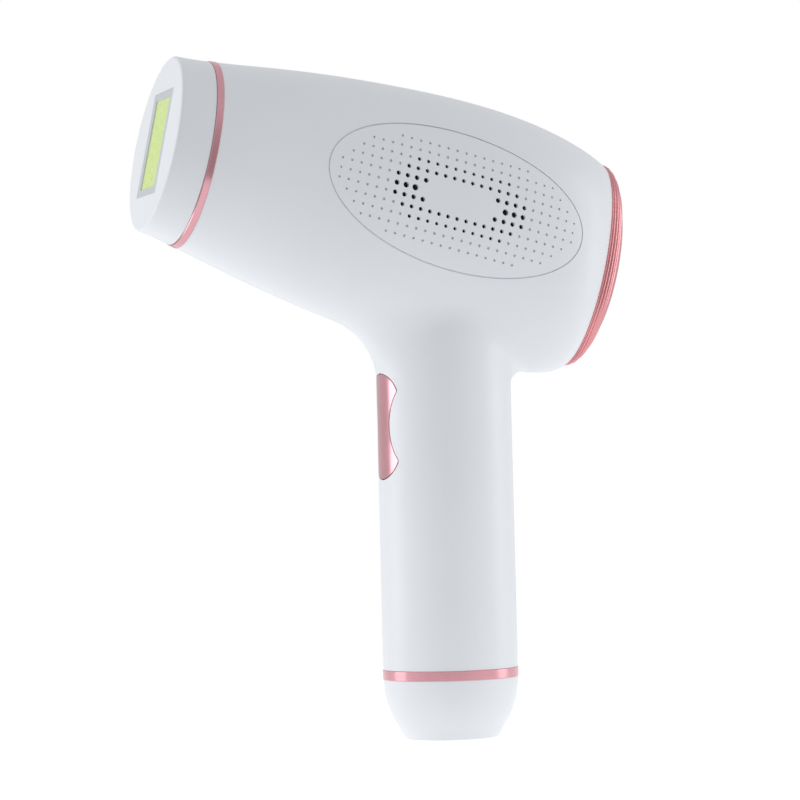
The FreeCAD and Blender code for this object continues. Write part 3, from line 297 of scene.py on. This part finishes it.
def dress_nodes():
    """Give every CAD node the finish that its material slot names; the rear trim ring gets instead a deeper
    rose gold whose extra saturation is painted reflection of its grooves.
    """
    made = {build.__name__: build() for build in FINISHES}
    special = {
        # The rear trim ring gets a deeper, more saturated rose gold than the other rose-gold parts: painted
        # reflection of its ridges and grooves in one another, on the same coating.
        "rear_trim_ring": rose_gold("rose_gold_ridges_painted_reflection", (0.70, 0.30, 0.32), 0.26),
    }
    for part in frame["record"]["subparts"]:
        name = part["node"]
        node = nodes[name]
        node.data.materials.clear()
        node.data.materials.append(special.get(name, made[part["material_slot"]]))


# ---------------------------------------------------------------- stage, light and camera

def floor():
    """A round pale floor, lit enough to read as white."""
    mesh = bpy.data.meshes.new("floor")
    turns = [2 * math.pi * side / FLOOR_SIDES for side in range(FLOOR_SIDES)]
    rim = [Vector((FLOOR_RADIUS * math.cos(turn), FLOOR_RADIUS * math.sin(turn), 0)) for turn in turns]
    mesh.from_pydata(rim, [], [list(range(FLOOR_SIDES))])
    item = bpy.data.objects.new("floor", mesh)
    bpy.context.scene.collection.objects.link(item)
    item.location.z = -FLOOR_GAP
    material = new_material("floor", Roughness=0.9, Specular_IOR_Level=0.1, Emission_Color=WHITE,
                            Emission_Strength=FLOOR_GLOW)
    vary_colour(material, noise(material, FLOOR_PATCH), (0.44, 0.445, 0.45), (0.46, 0.465, 0.47))
    mesh.materials.append(material)


def surroundings():
    """An even studio, dimmer on the side of the main view, and white where the camera sees past the floor."""
    world = bpy.data.worlds.new("studio")
    bpy.context.scene.world = world
    world.use_nodes = True
    tree = world.node_tree
    tree.nodes.clear()
    output = tree.nodes.new("ShaderNodeOutputWorld")
    ray = tree.nodes.new("ShaderNodeLightPath")
    mix = tree.nodes.new("ShaderNodeMixShader")
    glow = []
    for colour, strength in ((ROOM_TINT, ROOM_LIGHT), (WHITE, 1.0)):
        background = tree.nodes.new("ShaderNodeBackground")
        background.inputs["Color"].default_value = colour
        background.inputs["Strength"].default_value = strength
        glow.append(background)
    place = tree.nodes.new("ShaderNodeTexCoord")
    facing = tree.nodes.new("ShaderNodeVectorMath")
    facing.operation = "DOT_PRODUCT"
    facing.inputs[1].default_value = direction(CAMERA_AZIMUTH, 0)
    dim = tree.nodes.new("ShaderNodeMapRange")
    dim.interpolation_type = "SMOOTHSTEP"
    dim.inputs["From Min"].default_value = DIM_FROM
    dim.inputs["From Max"].default_value = 1.0
    dim.inputs["To Min"].default_value = ROOM_LIGHT
    dim.inputs["To Max"].default_value = DIM_LIGHT
    tree.links.new(place.outputs["Generated"], facing.inputs[0])
    tree.links.new(facing.outputs["Value"], dim.inputs["Value"])
    tree.links.new(dim.outputs["Result"], glow[0].inputs["Strength"])
    tree.links.new(ray.outputs["Is Camera Ray"], mix.inputs[0])
    tree.links.new(glow[0].outputs[0], mix.inputs[1])
    tree.links.new(glow[1].outputs[0], mix.inputs[2])
    tree.links.new(mix.outputs[0], output.inputs["Surface"])


def softbox(name, azimuth, width):
    """A tall soft area light aimed at the object, placed by its azimuth seen from the object."""
    light = bpy.data.lights.new(name, "AREA")
    light.shape = "RECTANGLE"
    light.size = width
    light.size_y = SOFTBOX_HEIGHT
    light.energy = math.pi * width * SOFTBOX_HEIGHT * SOFTBOX_RADIANCE
    item = bpy.data.objects.new(name, light)
    bpy.context.scene.collection.objects.link(item)
    back = direction(azimuth, SOFTBOX_ELEVATION)
    item.location = centre + back * SOFTBOX_DISTANCE
    item.rotation_euler = back.to_track_quat("Z", "Y").to_euler()


def direction(azimuth, elevation):
    """Unit vector from the object towards a place given in degrees: azimuth 0 is -Y, 90 is +X."""
    turn = math.radians(azimuth)
    lift = math.radians(elevation)
    return Vector((math.sin(turn) * math.cos(lift), -math.cos(turn) * math.cos(lift), math.sin(lift)))


def camera():
    """The camera of the main view."""
    lens = bpy.data.cameras.new("camera")
    lens.lens = FOCAL_LENGTH
    lens.sensor_width = SENSOR_WIDTH
    lens.clip_start = 0.05
    lens.clip_end = 60.0
    item = bpy.data.objects.new("camera", lens)
    bpy.context.scene.collection.objects.link(item)
    back = direction(CAMERA_AZIMUTH, CAMERA_ELEVATION)
    place = Matrix.Translation(centre + Vector(CAMERA_AIM) + back * CAMERA_DISTANCE)
    turn = back.to_track_quat("Z", "Y").to_matrix().to_4x4()
    roll = Matrix.Rotation(math.radians(CAMERA_ROLL), 4, "Z")
    item.matrix_world = place @ turn @ roll
    bpy.context.scene.camera = item


dress_nodes()
floor()
surroundings()
softbox("key_left", CAMERA_AZIMUTH - 88, width=0.50)
softbox("fill_right", CAMERA_AZIMUTH + 97, width=0.36)
camera()
bpy.context.scene.view_settings.view_transform = "Standard"
